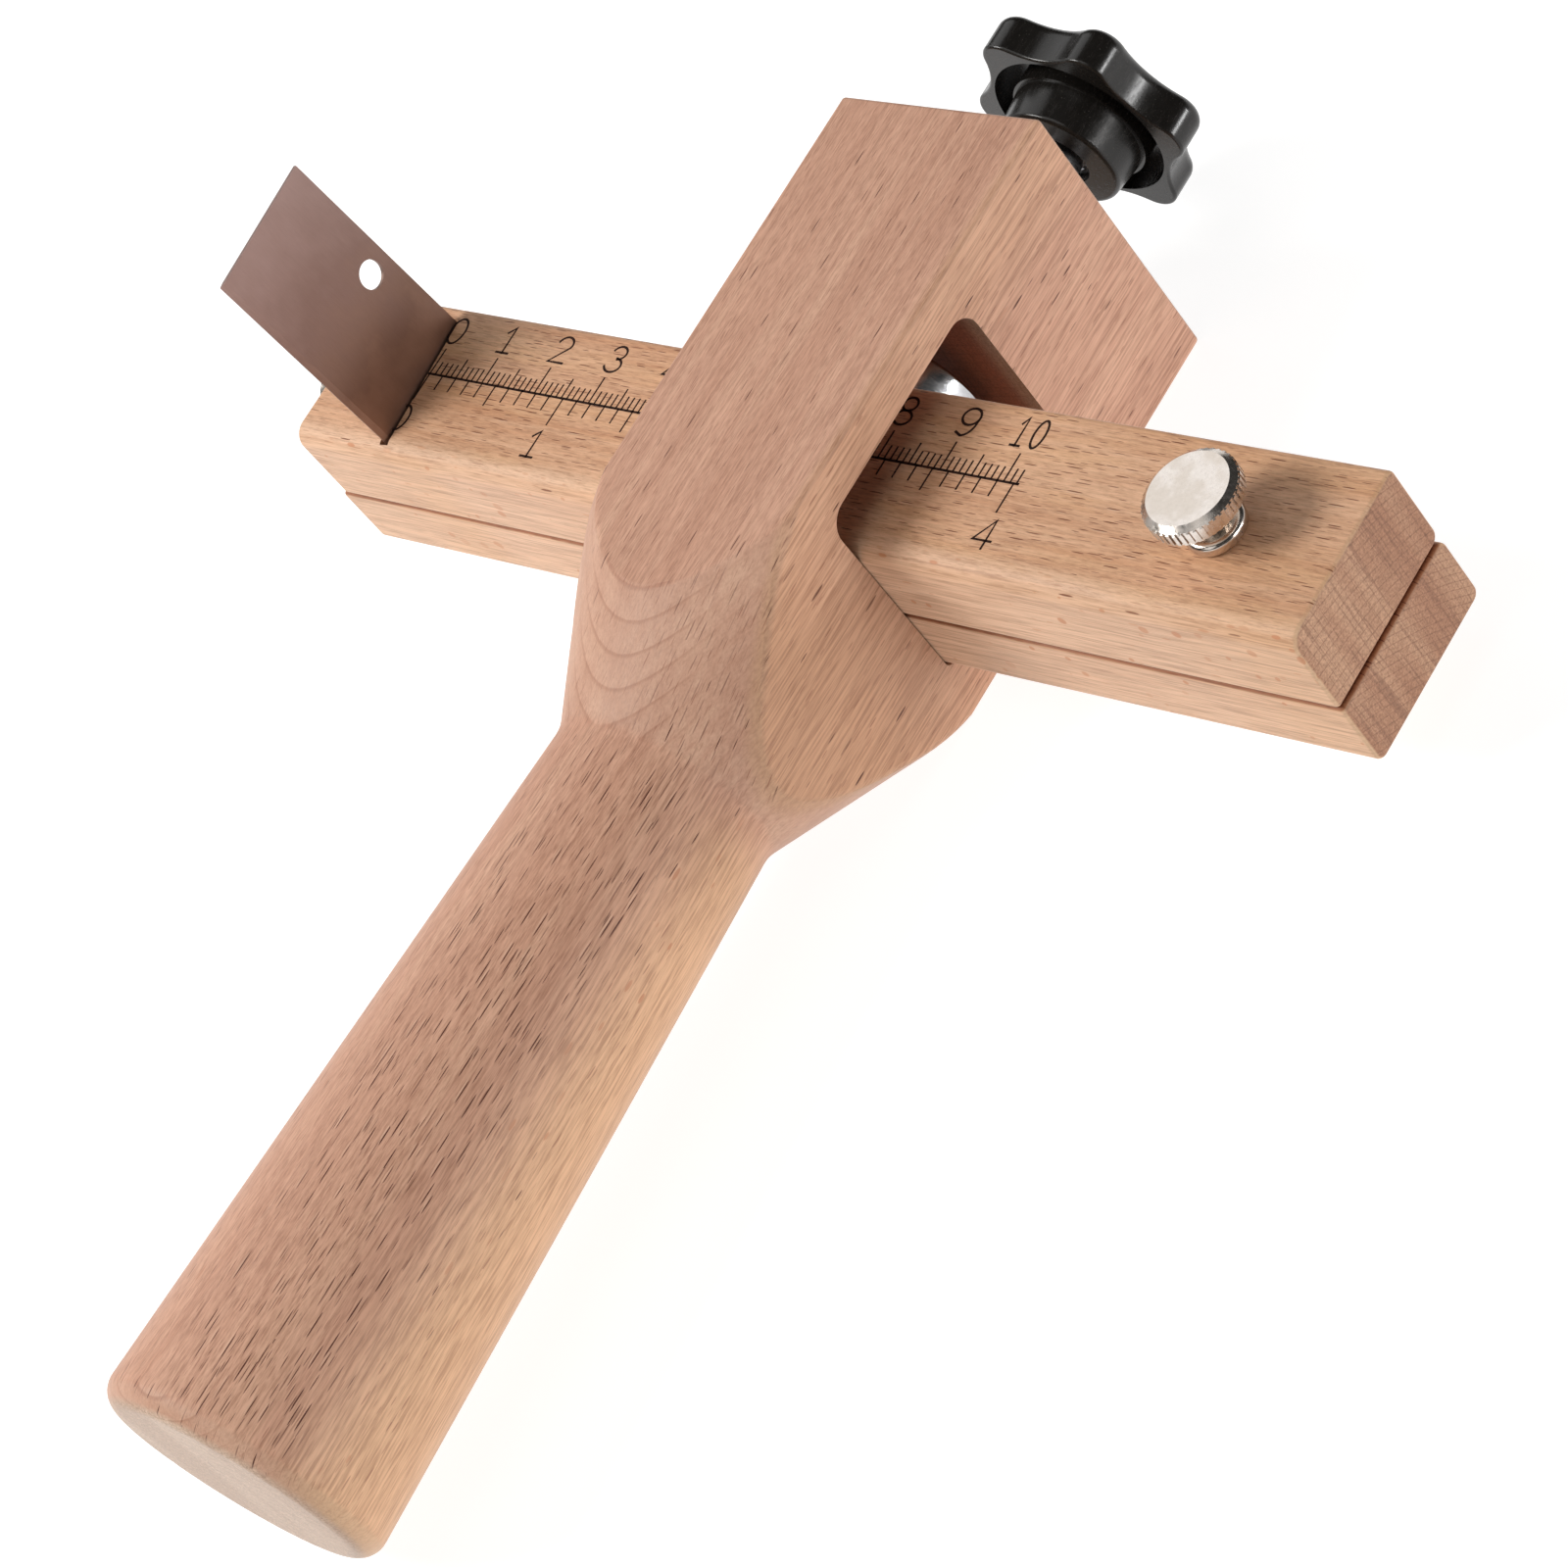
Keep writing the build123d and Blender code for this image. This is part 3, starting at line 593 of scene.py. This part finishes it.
# Single-stroke figures in a box 1 wide and 1 high, from their foot.
FIGURES = {
    "0": [arc(0.5, 0.5, 0.5, 0.5, 90, 450, 24)],
    "1": [[(0.15, 0.78), (0.5, 1.0), (0.5, 0.0)], [(0.12, 0.0), (0.88, 0.0)]],
    "2": [arc(0.5, 0.72, 0.48, 0.28, 165, -20) + [(0.0, 0.0), (1.0, 0.0)]],
    "3": [arc(0.48, 0.75, 0.44, 0.25, 160, -80), arc(0.48, 0.27, 0.52, 0.27, 85, -160)],
    "4": [[(0.84, 0.0), (0.84, 1.0), (0.08, 0.27), (1.12, 0.27)]],
    "5": [[(0.92, 1.0), (0.18, 1.0), (0.1, 0.55)] + arc(0.48, 0.32, 0.5, 0.32, 135, -150)],
    "6": [[(0.85, 1.0)] + arc(0.78, 0.3, 0.78, 0.6, 130, 178, 8),
          arc(0.5, 0.3, 0.5, 0.3, 0, 360, 22)],
    "7": [[(0.02, 1.0), (0.98, 1.0), (0.35, 0.0)]],
    "8": [arc(0.5, 0.76, 0.42, 0.24, -90, 270, 20), arc(0.5, 0.26, 0.5, 0.26, 90, 450, 22)],
    "9": [arc(0.5, 0.7, 0.5, 0.3, 0, 360, 22),
          [(1.0, 0.7)] + arc(0.36, 0.5, 0.62, 0.5, 0, -82, 12) + [(0.12, 0.1)]]}


def strokes_of(text, centre, foot, width):
    """The strokes of one figure, or of 10 set narrow, centred on a tick."""
    out = []
    places = [0.0] if len(text) == 1 else [TEN_SHIFT - TEN_SPREAD, TEN_SHIFT + TEN_SPREAD]
    for figure, shift in zip(text, places):
        for stroke in FIGURES[figure]:
            out.append([(centre + shift + (u - 0.5) * width, foot + v * DIGIT_HEIGHT)
                        for u, v in stroke])
    return out


def scale_strokes():
    """All the scale's lines as (points in mm, half width in mm)."""
    baseline = [(SCALE_ZERO + end, BASELINE_Y) for end in (BASELINE_START, BASELINE_END)]
    lines = [(baseline, BASELINE_HALF_WIDTH)]
    for last, step, ticks in ((LAST_MM, 1, (CM_TICK, HALF_CM_TICK, MM_TICK)),
                              (LAST_TENTH, INCH / 10, (INCH_TICK, HALF_INCH_TICK, TENTH_TICK))):
        for i in range(last + 1):
            tip = ticks[0] if i % 10 == 0 else ticks[1] if i % 5 == 0 else ticks[2]
            x = SCALE_ZERO + i * step
            lines.append(([(x, BASELINE_Y), (x, tip)], LINE_HALF_WIDTH))
    for last, step, foot in ((LAST_CM, CM, CM_DIGIT_FOOT), (LAST_INCH, INCH, INCH_DIGIT_FOOT)):
        for i in range(last + 1):
            width = TEN_WIDTH if i == 10 else DIGIT_WIDTH
            for stroke in strokes_of(str(i), SCALE_ZERO + i * step, foot, width):
                lines.append((stroke, DIGIT_HALF_WIDTH))
    return lines


def ribbon(points, half, bottom, top, verts, faces):
    """Adds one stroke as a closed flat bar with slanted sides, mitred at its bends."""
    closed = len(points) > 2 and math.dist(points[0], points[-1]) < SAME_POINT
    path = points[:-1] if closed else points
    count = len(path)
    start = len(verts)
    for i, (x, y) in enumerate(path):
        before = path[i - 1] if i or closed else None
        after = path[(i + 1) % count] if i < count - 1 or closed else None
        dirs = []
        for a, b in ((before, (x, y)), ((x, y), after)):
            if a is not None and b is not None:
                length = math.dist(a, b)
                dirs.append(((b[0] - a[0]) / length, (b[1] - a[1]) / length))
        dx, dy = (sum(d[0] for d in dirs), sum(d[1] for d in dirs))
        size = math.hypot(dx, dy) or 1.0
        dx, dy = dx / size, dy / size
        miter = 1 / max(MITRE_LIMIT, dx * dirs[0][0] + dy * dirs[0][1])
        px, py = x, y
        if not closed and i == 0:
            px, py = x - dx * half, y - dy * half
        if not closed and i == count - 1:
            px, py = x + dx * half, y + dy * half
        for side, rise, inset in ((-1, bottom, 1.0), (-1, top, TOP_SHARE),
                                  (1, top, TOP_SHARE), (1, bottom, 1.0)):
            reach = side * half * miter * inset
            verts.append(((px - dy * reach) * MM, (py + dx * reach) * MM, rise * MM))
    links = count if closed else count - 1
    for i in range(links):
        a, b = start + 4 * i, start + 4 * ((i + 1) % count)
        for k in range(4):
            faces.append((a + k, a + (k + 1) % 4, b + (k + 1) % 4, b + k))
    if not closed:
        last = start + 4 * (count - 1)
        faces.append((start + 3, start + 2, start + 1, start))
        faces.append((last, last + 1, last + 2, last + 3))


def build_scale():
    face_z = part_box("front_beam")[1].z / MM
    verts, faces = [], []
    for points, half in scale_strokes():
        ribbon(points, half, face_z - LINE_SINK, face_z + LINE_RISE, verts, faces)
    mesh = bpy.data.meshes.new("scale_marks")
    mesh.from_pydata(verts, [], faces)
    mesh.update()
    obj = bpy.data.objects.new("scale_marks", mesh)
    bpy.context.scene.collection.objects.link(obj)
    obj.data.materials.append(burnt_line())
    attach(obj, "front_beam_body")


build_scale()


# Camera, solved from the scale and the head block.

CAMERA_AT = (0.39613, -0.20358, 0.38944)
CAMERA_RIGHT = (0.70311326, 0.50076427, -0.50484343)
CAMERA_DOWN = (0.18426001, -0.81402736, -0.55082456)
CAMERA_FORWARD = (-0.68678963, 0.2942696, -0.66462426)
CAMERA_LENS, CAMERA_SENSOR = 110.37, 36
CAMERA_SHIFT = (0.0106, 0.0107)

camera = bpy.data.objects.new("camera", bpy.data.cameras.new("camera"))
bpy.context.scene.collection.objects.link(camera)
rows = [(right, -down, -forward, at) for right, down, forward, at
        in zip(CAMERA_RIGHT, CAMERA_DOWN, CAMERA_FORWARD, CAMERA_AT)]
camera.matrix_world = Matrix((*rows, (0, 0, 0, 1)))
camera.data.lens = CAMERA_LENS
camera.data.sensor_width = CAMERA_SENSOR
camera.data.shift_x, camera.data.shift_y = CAMERA_SHIFT
bpy.context.scene.camera = camera


# Floor, world and lights.

FLOOR_SIZE = 4.0
FLOOR_GAP = 0.0002
WORLD_COLOUR, WORLD_STRENGTH = (1.0, 0.99, 0.97, 1), 0.04
LIGHT_TARGET = Vector((0, 0, 0.02))

# Name, place, width in metres, power in watts and tint of each round lamp.
LIGHTS = (
    ("key", (-0.50, -0.42, 0.72), 0.45, 7.7, (1.0, 0.99, 0.97)),
    ("top", (0.08, -0.22, 1.00), 0.80, 1.9, (1.0, 0.985, 0.96)),
    ("side", (-0.75, 0.32, 0.73), 0.90, 2.4, (1.0, 1.0, 1.0)),
    ("fill", (0.05, -0.85, 0.50), 0.60, 0.9, (1.0, 0.99, 0.98)),
    ("low", (1.10, 0.10, 0.14), 0.30, 3.9, (1.0, 0.985, 0.97)),
    ("rim", (0.95, 0.54, 0.07), 0.16, 2.2, (1.0, 1.0, 1.0)),
    ("left", (-1.00, -0.10, 0.30), 0.80, 0.8, (1.0, 1.0, 1.0)))

floor_mesh = bpy.data.meshes.new("floor")
half = FLOOR_SIZE / 2
floor_z = cad_box[0][2] - FLOOR_GAP
floor_mesh.from_pydata([(-half, -half, floor_z), (half, -half, floor_z),
                        (half, half, floor_z), (-half, half, floor_z)], [], [(0, 1, 2, 3)])
floor = bpy.data.objects.new("floor", floor_mesh)
bpy.context.scene.collection.objects.link(floor)
floor.data.materials.append(floor_white())

world = bpy.data.worlds.new("studio")
bpy.context.scene.world = world
world.use_nodes = True
background = world.node_tree.nodes["Background"]
background.inputs["Color"].default_value = WORLD_COLOUR
background.inputs["Strength"].default_value = WORLD_STRENGTH

for name, place, size, power, tint in LIGHTS:
    lamp = bpy.data.objects.new(name, bpy.data.lights.new(name, "AREA"))
    lamp.data.shape = "DISK"
    lamp.data.size = size
    lamp.data.energy = power
    lamp.data.color = tint
    lamp.location = place
    lamp.rotation_euler = (LIGHT_TARGET - lamp.location).to_track_quat("-Z", "Y").to_euler()
    bpy.context.scene.collection.objects.link(lamp)

bpy.context.scene.view_settings.view_transform = "Standard"
